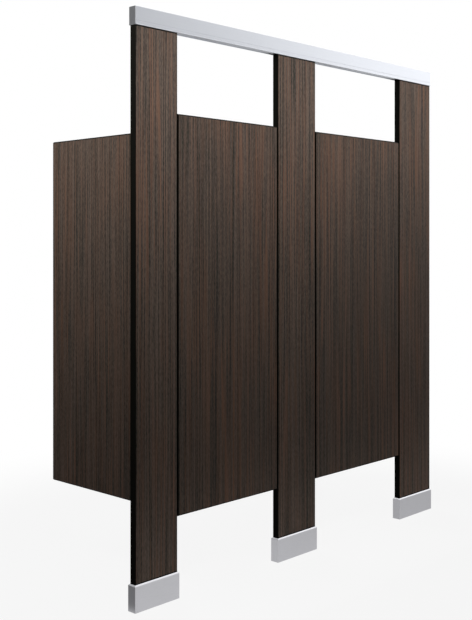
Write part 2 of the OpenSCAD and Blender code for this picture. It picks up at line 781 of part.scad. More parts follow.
// Turned knob screwed into the bolt
module latch_knob(x) {
    neck = bolt_wall + knob_lift;
    stud = seat_clear - knob_stud_len;
    color(ALUMINIUM) translate([x + knob_x, inner_y + bolt_y + bolt_t, latch_z]) rotate([-90, 0, 0])
        rotate_extrude() polygon([[0, stud], [knob_stud_r, stud], [knob_stud_r, 0],
            [knob_neck_r, 0], [knob_neck_r, neck], [knob_r * 0.75, neck + 1],
            [knob_r * 0.7, neck + knob_len * 0.3], [knob_r, neck + knob_len * 0.65],
            [knob_r, neck + knob_len * 0.85], [knob_r * 0.8, neck + knob_len],
            [0, neck + knob_len]]);
}

// Keeper on a pilaster whose door edge is at x: a strap over the bolt's way with two feet
module latch_keeper(x) {
    side = bolt_h / 2 + keeper_room;
    color(ALUMINIUM) translate([x + keeper_x0, inner_y, latch_z]) difference() {
        along_x(keeper_w) {
            for (s = [-1, 1]) scale([1, s]) {
                translate([0, side]) square([keeper_t, keeper_h / 2 - side]);
                translate([0, side]) square([keeper_depth - keeper_t, keeper_t]);
                translate([keeper_depth - keeper_t, side]) intersection() {
                    circle(keeper_t);
                    square(keeper_t);
                }
            }
            translate([keeper_depth - keeper_t, -side]) square([keeper_t, 2 * side]);
        }
        for (s = [-1, 1]) translate([keeper_w / 2, -1, s * keeper_screw_z]) along_y(keeper_t + 2)
            circle(screw_hole_r);
    }
}

// Joggled strap on the door that laps the pilaster's inner face, with a hole for its buffer
module door_stop(x) {
    lift = buffer_h + seat_clear;
    color(ALUMINIUM) translate([x, inner_y, latch_z - stop_drop]) difference() {
        intersection() {
            linear_extrude(stop_h, center = true) polygon([[-stop_base, 0], [-stop_joggle, 0],
                [0, lift], [stop_lap, lift], [stop_lap, lift + stop_t],
                [-stop_t / 2, lift + stop_t], [-stop_joggle - stop_t / 2, stop_t],
                [-stop_base, stop_t]]);
            translate([(stop_lap - stop_base) / 2, 0, 0]) along_y(lift + stop_t)
                rounded_rect(stop_lap + stop_base, stop_h, stop_corner_r);
        }
        for (s = stop_spots) translate([s[0], -1, s[1]]) along_y(stop_t + 2) circle(screw_hole_r);
        translate([buffer_x, 0, 0]) along_y(lift + stop_t + 1) circle(buffer_stem_r + fit_clear);
    }
}

// Rubber button under the door stop, held by its stem, and the rubber cap on the hook's arm
module rubber_buffers(x0, w) {
    stem = buffer_h + stop_t + seat_clear;
    color(RUBBER) {
        translate([x0 + w + buffer_x, inner_y + seat_clear, latch_z - stop_drop]) rotate([-90, 0, 0])
            rotate_extrude() polygon([[0, 0], [buffer_r - buffer_ease, 0], [buffer_r, buffer_ease],
                [buffer_r, buffer_h], [buffer_stem_r, buffer_h], [buffer_stem_r, stem],
                [buffer_stem_r + buffer_barb, stem + 0.3],
                [buffer_stem_r * 0.8, stem + buffer_barb_h], [0, stem + buffer_barb_h]]);
        translate([x0 + w / 2, inner_y + hook_reach, door_z1 - hook_drop + hook_arm_z])
            rotate([90, 0, 0]) rotate_extrude() polygon([[0, 0], [hook_tip_r - hook_tip_ease, 0],
                [hook_tip_r, hook_tip_ease], [hook_tip_r, hook_tip_len - 1],
                [hook_tip_r - 1, hook_tip_len], [hook_arm_r + fit_clear, hook_tip_len],
                [hook_arm_r + fit_clear, hook_tip_wall], [0, hook_tip_wall]]);
    }
}

// Hook plate with a straight arm for the rubber cap and a bent rod with a ball end below it
module coat_hook(x0, w) {
    color(ALUMINIUM) translate([x0 + w / 2, inner_y, door_z1 - hook_drop]) {
        difference() {
            intersection() {
                along_y(hook_plate_t) rounded_rect(hook_plate_w, hook_plate_h, hook_plate_corner_r);
                translate([0, 0, -hook_plate_h / 2]) linear_extrude(hook_plate_h)
                    eased_rect(hook_plate_w, 2 * hook_plate_t, hook_plate_ease);
            }
            for (s = hook_spots) translate([s[0], -1, s[1]]) along_y(hook_plate_t + 2)
                circle(screw_hole_r);
        }
        translate([0, hook_plate_t / 2, hook_arm_z]) rotate([-90, 0, 0])
            cylinder(h = hook_reach - hook_tip_wall - hook_plate_t / 2, r = hook_arm_r);
        translate([0, hook_plate_t / 2, hook_rod_z]) rotate([-90, 0, 0])
            cylinder(h = hook_bend_y - hook_plate_t / 2, r = hook_rod_r);
        translate([0, hook_bend_y, hook_rod_z + hook_bend_r]) rotate([90, 0, 90])
            rotate([0, 0, -90]) rotate_extrude(angle = 90) translate([hook_bend_r, 0])
                circle(hook_rod_r);
        translate([0, hook_bend_y + hook_bend_r, hook_rod_z + hook_bend_r]) {
            cylinder(h = hook_ball_r, r = hook_rod_r);
            translate([0, 0, hook_ball_r]) sphere(hook_ball_r);
        }
    }
}

pilaster_core(pilasters[0]);  // pilaster_left
pilaster_core(pilasters[1]);  // pilaster_middle
pilaster_core(pilasters[2]);  // pilaster_right
pilaster_sheets(pilasters[0]);  // pilaster_left_faces
pilaster_sheets(pilasters[1]);  // pilaster_middle_faces
pilaster_sheets(pilasters[2]);  // pilaster_right_faces
panel_core(panel_xs[0]);  // panel_left
panel_core(panel_xs[1]);  // panel_middle
panel_core(panel_xs[2]);  // panel_right
panel_sheets(panel_xs[0]);  // panel_left_faces
panel_sheets(panel_xs[1]);  // panel_middle_faces
panel_sheets(panel_xs[2]);  // panel_right_faces
headrail();
headrail_end_caps();
headrail_infills();
shoe(pilasters[0]);  // shoe_left
shoe(pilasters[1]);  // shoe_middle
shoe(pilasters[2]);  // shoe_right
foot_plate(pilasters[0]);  // foot_plate_left
foot_plate(pilasters[1]);  // foot_plate_middle
foot_plate(pilasters[2]);  // foot_plate_right
levelling_studs();
levelling_nuts();
levelling_washers();
pilaster_brackets();
wall_brackets();
panel_screws();
screws_at(frame_spots);  // frame_screws
hinge_leaves_fixed(hinge_xs[0]);  // hinge_leaves_fixed_left
hinge_leaves_fixed(hinge_xs[1]);  // hinge_leaves_fixed_right
hinge_pins(hinge_xs[0]);  // hinge_pins_left
hinge_pins(hinge_xs[1]);  // hinge_pins_right
hinge_bushes(hinge_xs[0]);  // hinge_bushes_left
hinge_bushes(hinge_xs[1]);  // hinge_bushes_right
latch_keeper(door_l_x1 + door_gap);  // latch_keeper_left
latch_keeper(door_r_x1 + door_gap);  // latch_keeper_right
door_core(door_l_x0, door_l_w);  // door_left
door_core(door_r_x0, door_r_w);  // door_right
door_sheets(door_l_x0, door_l_w);  // door_left_faces
door_sheets(door_r_x0, door_r_w);  // door_right_faces
hinge_leaves_door(hinge_xs[0]);  // hinge_leaves_door_left
hinge_leaves_door(hinge_xs[1]);  // hinge_leaves_door_right
hinge_springs(hinge_xs[0]);  // hinge_springs_left
hinge_springs(hinge_xs[1]);  // hinge_springs_right
latch_case(door_l_x1);  // latch_case_left
latch_case(door_r_x1);  // latch_case_right
latch_bolt(door_l_x1);  // latch_bolt_left
latch_bolt(door_r_x1);  // latch_bolt_right
latch_knob(door_l_x1);  // latch_knob_left
latch_knob(door_r_x1);  // latch_knob_right
door_stop(door_l_x1);  // door_stop_left
door_stop(door_r_x1);  // door_stop_right
rubber_buffers(door_l_x0, door_l_w);  // rubber_buffers_left
rubber_buffers(door_r_x0, door_r_w);  // rubber_buffers_right
coat_hook(door_l_x0, door_l_w);  // coat_hook_left
coat_hook(door_r_x0, door_r_w);  // coat_hook_right
door_screws(door_l_x0, door_l_w);  // door_left_screws
door_screws(door_r_x0, door_r_w);  // door_right_screws
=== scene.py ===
"""Looks of a two-compartment washroom stall partition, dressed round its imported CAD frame.

Lengths are in metres in the frame's own axes: X along the front, Y into the stalls and Z up from
the floor.
"""

from __future__ import annotations

import logging
import math
from dataclasses import dataclass
from enum import Enum
from typing import Callable, Iterable, Sequence, Union

import bmesh
import bpy
from mathutils import Matrix, Vector


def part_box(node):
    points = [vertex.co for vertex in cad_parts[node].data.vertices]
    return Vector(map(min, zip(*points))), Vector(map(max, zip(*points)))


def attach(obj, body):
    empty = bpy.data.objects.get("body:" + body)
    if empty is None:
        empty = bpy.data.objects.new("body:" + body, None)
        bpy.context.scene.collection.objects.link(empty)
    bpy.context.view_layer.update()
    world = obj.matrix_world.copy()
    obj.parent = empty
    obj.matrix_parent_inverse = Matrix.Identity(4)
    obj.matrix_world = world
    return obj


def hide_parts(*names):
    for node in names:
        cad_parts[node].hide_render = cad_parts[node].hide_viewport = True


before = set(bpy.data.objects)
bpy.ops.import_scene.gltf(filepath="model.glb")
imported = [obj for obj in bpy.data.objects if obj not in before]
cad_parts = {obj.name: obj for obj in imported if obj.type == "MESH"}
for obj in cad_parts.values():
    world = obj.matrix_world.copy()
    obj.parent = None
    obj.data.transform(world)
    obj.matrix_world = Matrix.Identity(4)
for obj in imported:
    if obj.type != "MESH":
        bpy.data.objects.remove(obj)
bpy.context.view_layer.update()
LOG = logging.getLogger("stall_partition")

Colour = tuple[float, float, float]
Triple = tuple[float, float, float]
Span = tuple[float, float]

MM = 0.001
UP = Vector((0.0, 0.0, 1.0))
INWARDS = Vector((0.0, 1.0, 0.0))
ORIGIN = (0.0, 0.0, 0.0)
STOOD_UP = (math.radians(90.0), 0.0, 0.0)
CAD_MERGE = 0.002 * MM
MODEL_MERGE = 0.001 * MM
FLAT_DEG = 0.5
LEVEL_SLACK = 0.01 * MM
FRAME = "frame"


class Axis(Enum):
    """Direction in which a finish is drawn, rolled or brushed."""

    X = 0
    Y = 1
    Z = 2

    def stretched(self, across: float, along: float) -> Triple:
        """Returns a pattern's scale on each axis, coarse along this one."""
        return tuple(along if i == self.value else across for i in range(3))


class Side(Enum):
    """The two doors, named by their places in the front."""

    LEFT = "left"
    RIGHT = "right"


class Element(Enum):
    """What a model can pick of its mesh, with Blender's name for it."""

    FACES = "FACE"
    VERTS = "VERT"


class Wire:
    """An output of a node, on which sums are written as Python expressions."""

    def __init__(self, bench: NodeBench, socket: bpy.types.NodeSocket) -> None:
        """Keeps the socket and the bench that it belongs to."""
        self.bench = bench
        self.socket = socket

    def __add__(self, other: Term) -> Wire:
        """Returns this value plus another."""
        return self.bench.math("ADD", self, other)

    def __radd__(self, other: Term) -> Wire:
        """Returns another value plus this one."""
        return self.bench.math("ADD", other, self)

    def __sub__(self, other: Term) -> Wire:
        """Returns this value less another."""
        return self.bench.math("SUBTRACT", self, other)

    def __rsub__(self, other: Term) -> Wire:
        """Returns another value less this one."""
        return self.bench.math("SUBTRACT", other, self)

    def __mul__(self, other: Term) -> Wire:
        """Returns this value times another."""
        return self.bench.math("MULTIPLY", self, other)


Term = Union[Wire, float]
Key = Union[str, int]
Inputs = dict[Key, object]


@dataclass(frozen=True)
class Pattern:
    """A noise with its own scale on each axis, and its share in what it is mixed into.

    A window holds the two values that are stretched to 0 and 1, where that is wanted.
    """

    scale: Triple
    detail: float = 2.0
    roughness: float = 0.5
    window: Span | None = None
    share: float = 1.0


class NodeBench:
    """A node tree, with one method that adds any node and short ones for the usual sums."""

    def __init__(self, tree: bpy.types.NodeTree) -> None:
        """Empties the tree to build in it."""
        self.tree = tree
        tree.nodes.clear()

    def node(self, kind: str, inputs: Inputs | None = None, **settings: object) -> bpy.types.Node:
        """Adds one node.

        Args:
            kind: The node's type.
            inputs: A value or a Wire for each input.
            settings: The node's properties, which are set before its inputs.

        Returns:
            The node.
        """
        made = self.tree.nodes.new(kind)
        for name, value in settings.items():
            setattr(made, name, value)
        for key, value in (inputs or {}).items():
            socket = self.find(made.inputs, key)
            if isinstance(value, Wire):
                self.tree.links.new(value.socket, socket)
            else:
                socket.default_value = value
        return made

    @staticmethod
    def find(sockets: Sequence[bpy.types.NodeSocket], key: Key) -> bpy.types.NodeSocket:
        """Finds one of a node's inputs or outputs.

        Args:
            sockets: The inputs or the outputs.
            key: The number, identifier or name. An identifier goes before a name.

        Returns:
            The socket.
        """
        for socket in sockets:
            if socket.identifier == key:
                return socket
        return sockets[key]

    def wire(self, made: bpy.types.Node, key: Key = 0) -> Wire:
        """Returns one output of a node."""
        return Wire(self, self.find(made.outputs, key))

    def add(self, kind: str, inputs: Inputs | None = None, key: Key = 0,
            **settings: object) -> Wire:
        """Adds one node and returns one of its outputs."""
        return self.wire(self.node(kind, inputs, **settings), key)

    def math(self, operation: str, first: Term, second: Term) -> Wire:
        """Returns the result of one sum on two values."""
        return self.add("ShaderNodeMath", {0: first, 1: second}, operation=operation)

    def spread(self, value: Wire, window: Span) -> Wire:
        """Returns a value stretched so that the window's ends become 0 and 1, and clamped."""
        inputs = {"Value": value, "From Min": window[0], "From Max": window[1]}
        return self.add("ShaderNodeMapRange", inputs, interpolation_type="SMOOTHSTEP")

    def mix(self, factor: Term, first: Wire | Colour, second: Wire | Colour) -> Wire:
        """Mixes two colours.

        Args:
            factor: 0 for the first colour and 1 for the second.
            first: The first colour.
            second: The second colour.

        Returns:
            The mixed colour.
        """
        ends = [c if isinstance(c, Wire) else (*c, 1.0) for c in (first, second)]
        inputs = {"Factor_Float": factor, "A_Color": ends[0], "B_Color": ends[1]}
        return self.add("ShaderNodeMix", inputs, "Result_Color", data_type="RGBA")

    def shades(self, factor: Term, colour: Colour, limits: Span) -> Wire:
        """Returns a mix of two shades of a colour, each the colour times one limit."""
        darker, lighter = (tuple(c * limit for c in colour) for limit in limits)
        return self.mix(factor, darker, lighter)

    def place(self, scale: Triple = (1.0, 1.0, 1.0), shift: Triple = ORIGIN) -> Wire:
        """Returns Object coordinates, scaled and shifted."""
        where = self.add("ShaderNodeTexCoord", None, "Object")
        return self.add("ShaderNodeMapping", {"Vector": where, "Scale": scale, "Location": shift})

    def noise(self, pattern: Pattern, shift: Triple = ORIGIN) -> Wire:
        """Adds a pattern's noise on Object coordinates.

        Args:
            pattern: The pattern.
            shift: How far the pattern is moved, so that two pieces don't show the same part.

        Returns:
            The noise, stretched over the pattern's window if it has one.
        """
        inputs = {"Vector": self.place(pattern.scale, shift), "Scale": 1.0,
                  "Detail": pattern.detail, "Roughness": pattern.roughness}
        value = self.add("ShaderNodeTexNoise", inputs, "Fac")
        return self.spread(value, pattern.window) if pattern.window else value

    def bump(self, height: Wire, depth: float, strength: float) -> Wire:
        """Returns the normal of a surface whose relief is depth metres deep."""
        inputs = {"Height": height, "Distance": depth, "Strength": strength}
        return self.add("ShaderNodeBump", inputs)

    def rays_that_see(self) -> tuple[Wire, Wire]:
        """Tells the kinds of ray apart.

        Returns:
            A value that is 1 for the camera's rays, and one for mirrored and transmitted rays.
        """
        path = self.node("ShaderNodeLightPath")
        mirrored = self.wire(path, "Is Glossy Ray") + self.wire(path, "Is Transmission Ray")
        return self.wire(path, "Is Camera Ray"), mirrored

    def finish(self, inputs: Inputs) -> None:
        """Adds the main shader with these inputs and joins it to the output."""
        shader = self.add("ShaderNodeBsdfPrincipled", inputs)
        self.node("ShaderNodeOutputMaterial", {"Surface": shader})


@dataclass(frozen=True)
class Finish:
    """What every finish has: a name, and a material that is built once from it."""

    name: str

    def material(self) -> bpy.types.Material:
        """Builds the material on first use, under a name that no CAD material has.

        Returns:
            The material.
        """
        title = f"{self.name}_finish"
        found = bpy.data.materials.get(title)
        if found is None:
            found = bpy.data.materials.new(title)
            found.use_nodes = True
            self.build(NodeBench(found.node_tree))
        return found

    def build(self, bench: NodeBench) -> None:
        """Adds this finish's nodes to an empty tree."""
        raise NotImplementedError


@dataclass(frozen=True)
class WoodLaminate(Finish):
    """Dark woodgrain laminate with a fine, straight, upright grain and a matt face."""

    light: Colour = (0.127, 0.093, 0.075)
    dark: Colour = (0.0110, 0.0146, 0.0122)
    red: Colour = (0.168, 0.082, 0.050)
    pore: Colour = (0.013, 0.012, 0.011)
    shift: Triple = ORIGIN
    bands: Pattern = Pattern((20.0, 20.0, 0.4), 1.0, window=(0.34, 0.66), share=0.10)
    streaks: Pattern = Pattern((320.0, 320.0, 1.3), 2.0, 0.6, (0.42, 0.58), 0.56)
    flecks: Pattern = Pattern((480.0, 480.0, 70.0), 1.0, window=(0.38, 0.62), share=0.34)
    pores: Pattern = Pattern((1500.0, 1500.0, 40.0), 1.0, window=(0.60, 0.74), share=0.4)
    red_streaks: Pattern = Pattern((240.0, 240.0, 1.8), 1.0, window=(0.50, 0.62))
    red_clouds: Pattern = Pattern((4.0, 4.0, 1.5), window=(0.35, 0.65), share=0.6)
    red_shift: Triple = (3.0, 5.0, 7.0)
    red_share: float = 0.62
    roughness: float = 0.5
    fleck_roughness: float = 0.08
    pore_roughness: float = 0.1
    specular: float = 0.06
    fleck_relief: float = 0.4
    depth: float = 0.06 * MM
    bump: float = 0.6

    def build(self, bench: NodeBench) -> None:
        """Adds broad bands, streaks, short flecks and pores, all long on Z.

        Args:
            bench: The empty tree.
        """
        band = bench.noise(self.bands, self.shift)
        streak = bench.noise(self.streaks, self.shift)
        fleck = bench.noise(self.flecks, self.shift)
        cloud = bench.noise(self.red_clouds, self.shift)
        red = bench.noise(self.red_streaks, self.red_shift)
        pore = bench.noise(self.pores)
        shade = (band * self.bands.share + streak * self.streaks.share
                 + fleck * self.flecks.share)
        cloud = (1.0 - self.red_clouds.share) + cloud * self.red_clouds.share
        colour = bench.mix(shade, self.light, self.dark)
        colour = bench.mix(red * cloud * self.red_share, colour, self.red)
        colour = bench.mix(pore * self.pores.share, colour, self.pore)
        relief = fleck * self.fleck_relief + (1.0 - pore) * (1.0 - self.fleck_relief)
        bench.finish({
            "Base Color": colour,
            "Roughness": (self.roughness + fleck * self.fleck_roughness
                          + pore * self.pore_roughness),
            "Specular IOR Level": self.specular,
            "Normal": bench.bump(relief, self.depth, self.bump),
        })


@dataclass(frozen=True)
class BlackCore(Finish):
    """Black core of a board, which shows round its edges."""

    base: Colour = (0.0036, 0.0036, 0.0028)
    speck: Colour = (0.0120, 0.0115, 0.0095)
    specks: Pattern = Pattern((900.0,) * 3, window=(0.55, 0.75), share=0.5)
    marks: Pattern = Pattern((700.0, 700.0, 60.0), share=0.3)
    roughness: float = 0.55
    mark_roughness: float = 0.25
    specular: float = 0.02
    depth: float = 0.04 * MM
    bump: float = 0.4

    def build(self, bench: NodeBench) -> None:
        """Adds a faint speckle and the marks of the cutter along the edges.

        Args:
            bench: The empty tree.
        """
        speck, mark = bench.noise(self.specks), bench.noise(self.marks)
        share = speck * self.specks.share + mark * self.marks.share
        bench.finish({
            "Base Color": bench.mix(share, self.base, self.speck),
            "Roughness": self.roughness + mark * self.mark_roughness,
            "Specular IOR Level": self.specular,
            "Normal": bench.bump(mark, self.depth, self.bump),
        })


@dataclass(frozen=True)
class DrawnMetal(Finish):
    """Metal with fine lines along one axis, as extruded, rolled or brushed stock has."""

    base: Colour = (0.67, 0.69, 0.735)
    along: Axis = Axis.X
    line: float = 1600.0
    length: float = 5.0
    line_detail: float = 3.0
    line_break: float = 0.6
    line_window: Span = (0.3, 0.7)
    line_share: float = 0.5
    clouds: Pattern = Pattern((14.0,) * 3, 3.0, 0.55, share=0.5)
    stain: float = 0.05
    roughness: float = 0.34
    smoother_by: float = 0.05
    line_roughness: float = 0.08
    cloud_roughness: float = 0.04
    depth: float = 0.012 * MM
    bump: float = 0.5

    def build(self, bench: NodeBench) -> None:
        """Adds the lines and a faint cloud over them.

        Args:
            bench: The empty tree.
        """
        lines = Pattern(self.along.stretched(self.line, self.length), self.line_detail,
                        self.line_break)
        line, cloud = bench.noise(lines), bench.noise(self.clouds)
        share = (bench.spread(line, self.line_window) * self.line_share
                 + cloud * self.clouds.share)
        bench.finish({
            "Base Color": bench.shades(share, self.base, (1.0 - self.stain, 1.0 + self.stain)),
            "Metallic": 1.0,
            "Roughness": (self.roughness - self.smoother_by + line * self.line_roughness
                          + cloud * self.cloud_roughness),
            "Normal": bench.bump(line, self.depth, self.bump),
        })


@dataclass(frozen=True)
class CastMetal(Finish):
    """Metal with a fine, even grain, as a cast and blasted fitting has."""

    base: Colour = (0.58, 0.59, 0.61)
    grain: float = 1300.0
    grain_detail: float = 3.0
    grain_break: float = 0.6
    clouds: Pattern = Pattern((40.0,) * 3)
    shades: Span = (0.93, 1.05)
    roughness: float = 0.38
    smoother_by: float = 0.04
    grain_roughness: float = 0.08
    depth: float = 0.03 * MM
    bump: float = 0.5

    def build(self, bench: NodeBench) -> None:
        """Adds the grain and a faint cloud over it.

        Args:
            bench: The empty tree.
        """
        grain = bench.noise(Pattern((self.grain,) * 3, self.grain_detail, self.grain_break))
        bench.finish({
            "Base Color": bench.shades(bench.noise(self.clouds), self.base, self.shades),
            "Metallic": 1.0,
            "Roughness": self.roughness - self.smoother_by + grain * self.grain_roughness,
            "Normal": bench.bump(grain, self.depth, self.bump),
        })


@dataclass(frozen=True)
class ZincPlate(Finish):
    """Zinc plating with the pale yellow bloom of its passivation."""

    base: Colour = (0.52, 0.51, 0.46)
    bloom: Colour = (0.50, 0.46, 0.32)
    blotches: Pattern = Pattern((120.0,) * 3, 3.0, window=(0.4, 0.65), share=0.6)
    grains: Pattern = Pattern((1500.0,) * 3)
    roughness: float = 0.34
    blotch_roughness: float = 0.08
    grain_roughness: float = 0.04
    depth: float = 0.01 * MM
    bump: float = 0.5

    def build(self, bench: NodeBench) -> None:
        """Adds a blotched bloom over a slightly rough metal.

        Args:
            bench: The empty tree.
        """
        blotch, grain = bench.noise(self.blotches), bench.noise(self.grains)
        bench.finish({
            "Base Color": bench.mix(blotch * self.blotches.share, self.base, self.bloom),
            "Metallic": 1.0,
            "Roughness": (self.roughness + blotch * self.blotch_roughness
                          + grain * self.grain_roughness),
            "Normal": bench.bump(grain, self.depth, self.bump),
        })


@dataclass(frozen=True)
class Moulded(Finish):
    """Moulded nylon or rubber, with a fine spark-eroded texture."""

    base: Colour = (0.78, 0.77, 0.73)
    textures: Pattern = Pattern((2200.0,) * 3)
    clouds: Pattern = Pattern((160.0,) * 3)
    shades: Span = (0.9, 1.08)
    roughness: float = 0.5
    texture_roughness: float = 0.1
    specular: float = 0.35
    depth: float = 0.02 * MM
    bump: float = 0.5

    def build(self, bench: NodeBench) -> None:
        """Adds the mould's texture and a faint unevenness of colour.

        Args:
            bench: The empty tree.
        """
        texture = bench.noise(self.textures)
        bench.finish({
            "Base Color": bench.shades(bench.noise(self.clouds), self.base, self.shades),
            "Roughness": self.roughness + texture * self.texture_roughness,
            "Specular IOR Level": self.specular,
            "Normal": bench.bump(texture, self.depth, self.bump),
        })


LAMINATE_FRONT = WoodLaminate("laminate_pilasters")
LAMINATE_DOOR = WoodLaminate("laminate_doors", light=(0.113, 0.082, 0.066), red_share=0.60,
                             shift=(11.0, 4.0, 0.3))
LAMINATE_PANEL = WoodLaminate("laminate_panels", shift=(5.0, 17.0, 0.7))
CORE = BlackCore("board_core")
HEADRAIL_METAL = DrawnMetal("headrail_aluminium")
# Painted light: the strips under the rail are aluminium like the rail, made lighter to offset the
# shade in the channel.
STRIP_METAL_PAINTED_LIGHT = DrawnMetal("strip_aluminium_painted_light", base=(0.86, 0.88, 0.91))
# Painted light: the end caps are cast aluminium, made lighter than the rail so that their shaded
# end faces read lighter.
CAP_METAL_PAINTED_LIGHT = CastMetal("cap_aluminium_painted_light", base=(0.90, 0.92, 0.95))
SPRING_STEEL = DrawnMetal("spring_steel", base=(0.30, 0.30, 0.31), roughness=0.3)
SHOE_METAL = DrawnMetal("shoe_steel", base=(0.64, 0.64, 0.67), line=900.0, length=30.0,
                        roughness=0.36)
PLATE_METAL = CastMetal("plate_steel", base=(0.32, 0.33, 0.34), grain=500.0, roughness=0.5)
ZINC_METAL = ZincPlate("zinc_steel")
BRACKET_METAL = DrawnMetal("bracket_aluminium", base=(0.60, 0.61, 0.63), along=Axis.Z)
SCREW_METAL = CastMetal("screw_steel", base=(0.55, 0.56, 0.58), grain=2500.0, roughness=0.28)
HINGE_METAL = DrawnMetal("hinge_aluminium", base=(0.60, 0.61, 0.63), along=Axis.Z)
PIN_METAL = CastMetal("pin_steel", base=(0.45, 0.46, 0.48), grain=2500.0, roughness=0.22)
NYLON = Moulded("nylon")
BOLT_METAL = DrawnMetal("bolt_steel", base=(0.55, 0.56, 0.58), line=2400.0)
LATCH_METAL = CastMetal("latch_aluminium")
RUBBER = Moulded("rubber", base=(0.012, 0.012, 0.013), roughness=0.62)


class Model:
    """One mesh that is modelled with operators, as by hand in edit mode."""

    def __init__(self, piece: bpy.types.Object) -> None:
        """Takes over an object."""
        self.piece = piece

    @staticmethod
    def clear_selection() -> None:
        """Leaves edit mode and deselects everything."""
        if bpy.context.object and bpy.context.object.mode != "OBJECT":
            bpy.ops.object.mode_set(mode="OBJECT")
        bpy.ops.object.select_all(action="DESELECT")

    @classmethod
    def disc(cls, name: str, radius: float, place: Triple, sides: int, turn: Triple = ORIGIN,
             hollow: bool = False) -> Model:
        """Starts a model from a flat disc or ring.

        Args:
            name: The new object's name.
            radius: The disc's radius.
            place: Its centre.
            sides: How many sides stand for its round edge.
            turn: Its turn in radians.
            hollow: True for a ring.

        Returns:
            The model, with its place and turn applied.
        """
        cls.clear_selection()
        bpy.ops.mesh.primitive_circle_add(vertices=sides, radius=radius,
                                          fill_type="NOTHING" if hollow else "NGON",
                                          location=place, rotation=turn)
        bpy.context.object.name = name
        bpy.ops.object.transform_apply()
        return cls(bpy.context.object)

    @classmethod
    def turned(cls, name: str, profile: Sequence[Span], sides: int) -> Model:
        """Makes a turned shape about Z by extruding and scaling one disc, step by step.

        Args:
            name: The new object's name.
            profile: Radius and height of each step, from the first disc to the last.
            sides: How many sides stand for the round.

        Returns:
            The model, closed at both ends.
        """
        radius, height = profile[0]
        model = cls.disc(name, radius, (0.0, 0.0, height), sides)
        model.edit()
        bpy.ops.mesh.select_all(action="SELECT")
        for wide, high in profile[1:]:
            bpy.ops.mesh.extrude_region_move(
                TRANSFORM_OT_translate={"value": (0.0, 0.0, high - height)})
            model.scale_across(wide / radius, high)
            radius, height = wide, high
        model.face_outwards()
        return model

    @classmethod
    def copy_of(cls, name: str, node: str) -> Model:
        """Copies a CAD node's mesh and merges its loose triangles.

        Args:
            name: The new object's name.
            node: The CAD node.

        Returns:
            The model, at the node's place.
        """
        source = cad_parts[node]
        model = cls(bpy.data.objects.new(name, source.data.copy()))
        model.piece.data.materials.clear()
        bpy.context.scene.collection.objects.link(model.piece)
        model.edit()
        bpy.ops.mesh.select_all(action="SELECT")
        bpy.ops.mesh.remove_doubles(threshold=CAD_MERGE)
        bpy.ops.mesh.dissolve_limited(angle_limit=math.radians(FLAT_DEG))
        model.leave()
        return model

    def select(self) -> None:
        """Leaves edit mode and selects this piece alone, as the active one."""
        self.clear_selection()
        self.piece.select_set(True)
        bpy.context.view_layer.objects.active = self.piece

    def edit(self) -> None:
        """Goes into edit mode on this mesh alone, with nothing selected."""
        self.select()
        bpy.ops.object.mode_set(mode="EDIT")
        bpy.ops.mesh.select_all(action="DESELECT")

    def leave(self) -> None:
        """Goes back to object mode."""
        bpy.ops.object.mode_set(mode="OBJECT")

    def pick(self, kind: Element, test: Callable[[object], bool]) -> None:
        """Selects the elements that pass a test, and nothing else.

        Args:
            kind: The kind of element.
            test: What is asked of each one.
        """
        bpy.ops.mesh.select_mode(type=kind.value)
        bpy.ops.mesh.select_all(action="DESELECT")
        mesh = bmesh.from_edit_mesh(self.piece.data)
        for part in getattr(mesh, kind.name.lower()):
            part.select_set(bool(test(part)))
        bmesh.update_edit_mesh(self.piece.data)

    def scale_across(self, factor: float, height: float) -> None:
        """Scales what is selected towards the Z axis, about a point of it at a height."""
        bpy.ops.transform.resize(value=(factor, factor, 1.0), center_override=(0.0, 0.0, height))

    def face_outwards(self) -> None:
        """Closes the mesh, merges its doubles, turns its faces outwards and leaves edit mode."""
        bpy.ops.mesh.select_mode(type="VERT")
        bpy.ops.mesh.select_all(action="SELECT")
        bpy.ops.mesh.remove_doubles(threshold=MODEL_MERGE)
        bpy.ops.mesh.fill_holes(sides=0)
        bpy.ops.mesh.select_all(action="SELECT")
        bpy.ops.mesh.normals_make_consistent()
        self.leave()

    def modify(self, kind: str, **settings: object) -> Model:
        """Adds a modifier and applies it.

        Args:
            kind: The modifier's type.
            settings: Its properties.

        Returns:
            This model.
        """
        self.select()
        made = self.piece.modifiers.new(kind.lower(), kind)
        for name, value in settings.items():
            setattr(made, name, value)
        bpy.ops.object.modifier_apply(modifier=made.name)
        return self

    def soften(self, ease: Ease) -> Model:
        """Rounds every edge that is sharper than an angle.

        Args:
            ease: The rounding.

        Returns:
            This model.
        """
        return self.modify("BEVEL", width=ease.width, segments=ease.segments,
                           limit_method="ANGLE", angle_limit=math.radians(ease.over_deg))

    def join(self, others: Sequence[Model]) -> Model:
        """Joins other models into this one.

        Args:
            others: The models, which are used up.

        Returns:
            This model.
        """
        self.select()
        for model in others:
            model.piece.select_set(True)
        bpy.ops.object.join()
        return self

    def place_copies(self, name: str, places: Iterable[Matrix]) -> Model:
        """Puts a copy of this model at each place and removes the first one.

        Args:
            name: The joined piece's name.
            places: The places.

        Returns:
            The copies, joined to one model at the origin.
        """
        copies = []
        for place in places:
            piece = self.piece.copy()
            piece.data = self.piece.data.copy()
            piece.data.transform(place)
            bpy.context.scene.collection.objects.link(piece)
            copies.append(Model(piece))
        bpy.data.objects.remove(self.piece)
        whole = copies[0].join(copies[1:])
        whole.piece.name = name
        return whole

